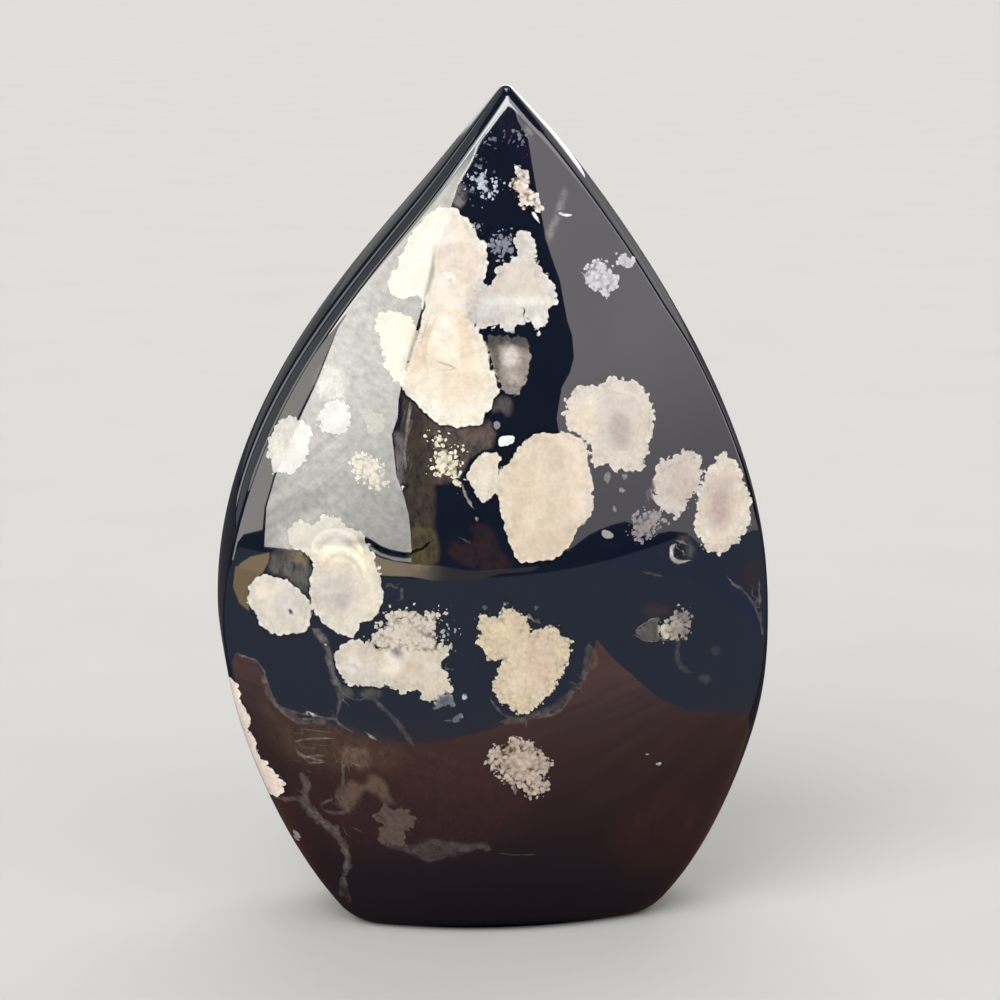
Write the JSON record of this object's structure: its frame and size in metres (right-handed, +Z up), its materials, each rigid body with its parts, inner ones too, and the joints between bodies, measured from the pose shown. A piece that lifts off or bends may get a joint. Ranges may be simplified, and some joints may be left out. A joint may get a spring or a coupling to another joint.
{
  "type": "cherry blossom agate freeform",
  "caption": "Polished flame-shaped cherry blossom agate that stands on its flat base: domed front and back, crisp edges, bulging side band and a sharp tip.",
  "frame": {"origin": "middle of the flat base that the stone stands on", "axes": "+Z up to the tip, +X to the right of the front face, +Y to the back, so the front face looks towards -Y"},
  "size_m": [0.0665, 0.0312, 0.1],
  "materials": {
    "polished_agate": "polished"
  },
  "bodies": {
    "root": {"agate_freeform": "polished_agate"}
  },
  "joints": []
}
